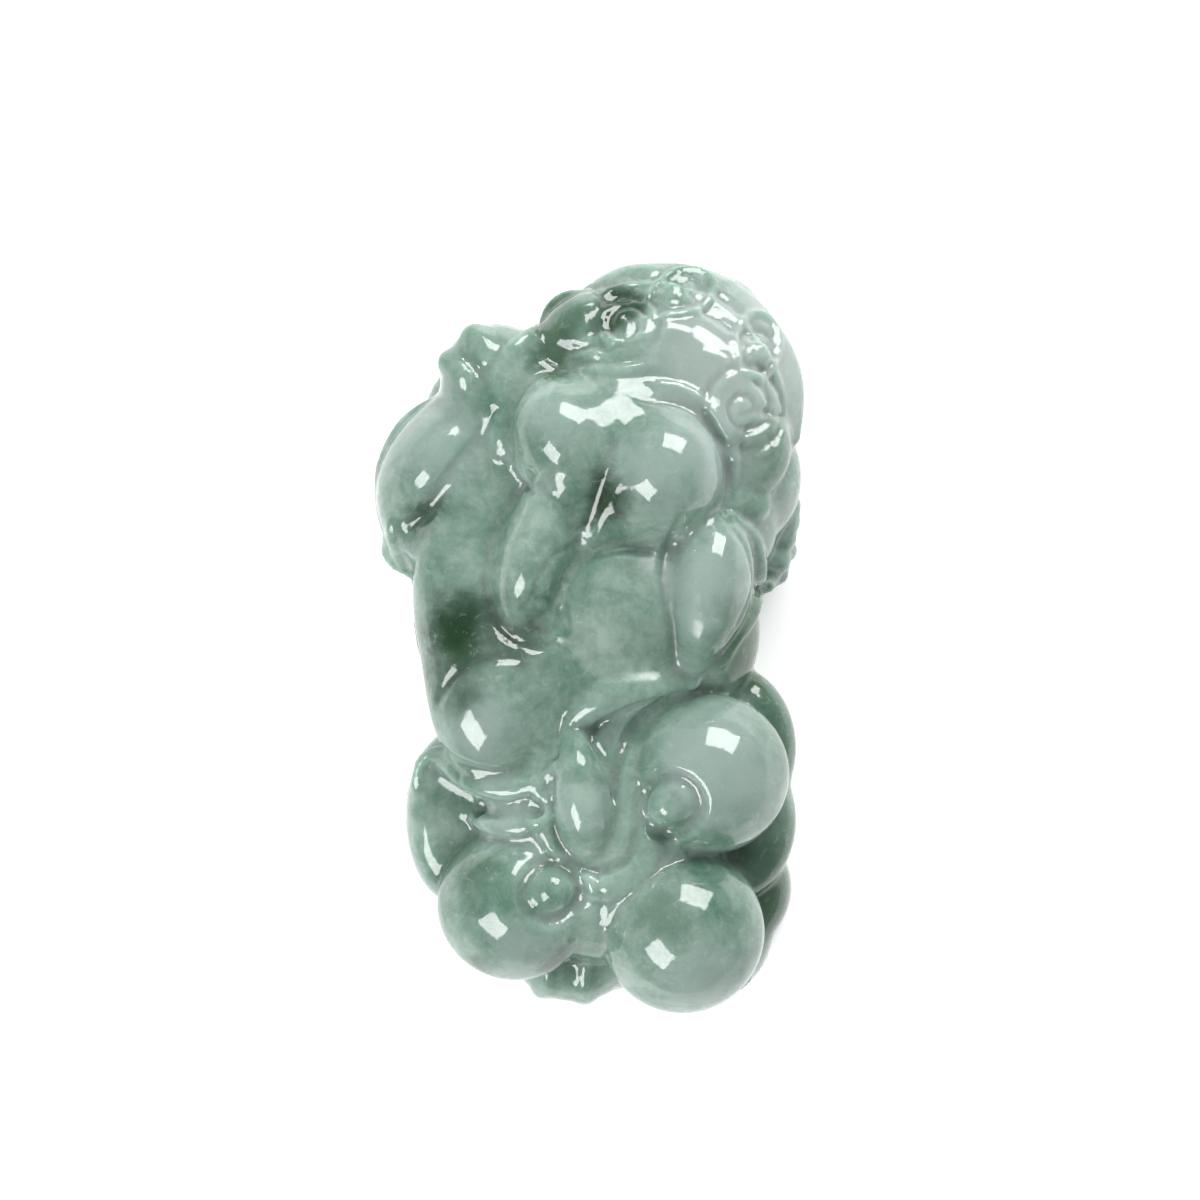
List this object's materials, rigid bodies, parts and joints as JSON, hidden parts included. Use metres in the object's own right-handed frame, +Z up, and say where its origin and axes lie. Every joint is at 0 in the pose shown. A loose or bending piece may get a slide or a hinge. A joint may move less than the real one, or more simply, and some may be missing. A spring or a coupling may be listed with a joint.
{
  "type": "jade animal figurine",
  "caption": "Small polished jade carving of a crouching guardian beast with rounded haunches, curls and a domed crest, lying on a flat belly.",
  "frame": {"origin": "middle of the resting face's box, under the middle of the stone", "axes": "+Y from the tail to the head along the stone's length, +X to the beast's right, +Z up from the resting face"},
  "size_m": [0.0299, 0.0517, 0.0185],
  "materials": {
    "jade_pale": "polished",
    "jade_mid": "polished",
    "jade_deep": "polished",
    "jade_grey": "polished"
  },
  "bodies": {
    "root": {"haunch_knob": "jade_pale", "hock_knob": "jade_pale", "left_eye": "jade_deep", "right_eye": "jade_deep", "left_ear_curl": "jade_deep", "right_ear_curl": "jade_pale", "head_tuft": "jade_grey", "brow_ridge": "jade_pale", "mane_curl": "jade_pale", "cheek_bead": "jade_mid", "left_fore_toes": "jade_grey", "right_fore_toes": "jade_grey", "left_hind_toes": "jade_grey", "right_hind_toes": "jade_grey", "elbow_tuft": "jade_grey", "hip_bead": "jade_mid", "leaf_sprig": "jade_mid", "tail_drop": "jade_pale", "right_crest_dome": "jade_mid", "left_crest_dome": "jade_mid", "right_haunch": "jade_pale", "right_hock": "jade_pale", "left_hock": "jade_mid", "ear_strap": "jade_mid", "neck_band": "jade_pale", "haunch_petal": "jade_mid", "tail_band": "jade_pale", "right_mane_lobe": "jade_pale", "left_mane_lobe": "jade_pale", "back_saddle": "jade_mid", "snout": "jade_pale", "left_ear": "jade_mid", "right_ear": "jade_pale", "head": "jade_mid", "left_foreleg": "jade_mid", "left_forepaw": "jade_grey", "right_foreleg": "jade_mid", "right_forepaw": "jade_grey", "left_flank": "jade_deep", "right_flank": "jade_mid", "left_hind_leg": "jade_mid", "right_hind_leg": "jade_mid", "left_hind_paw": "jade_deep", "right_hind_paw": "jade_mid", "tail_tuft": "jade_pale", "jaw": "jade_grey", "belly": "jade_mid", "trunk": "jade_mid"}
  },
  "joints": []
}
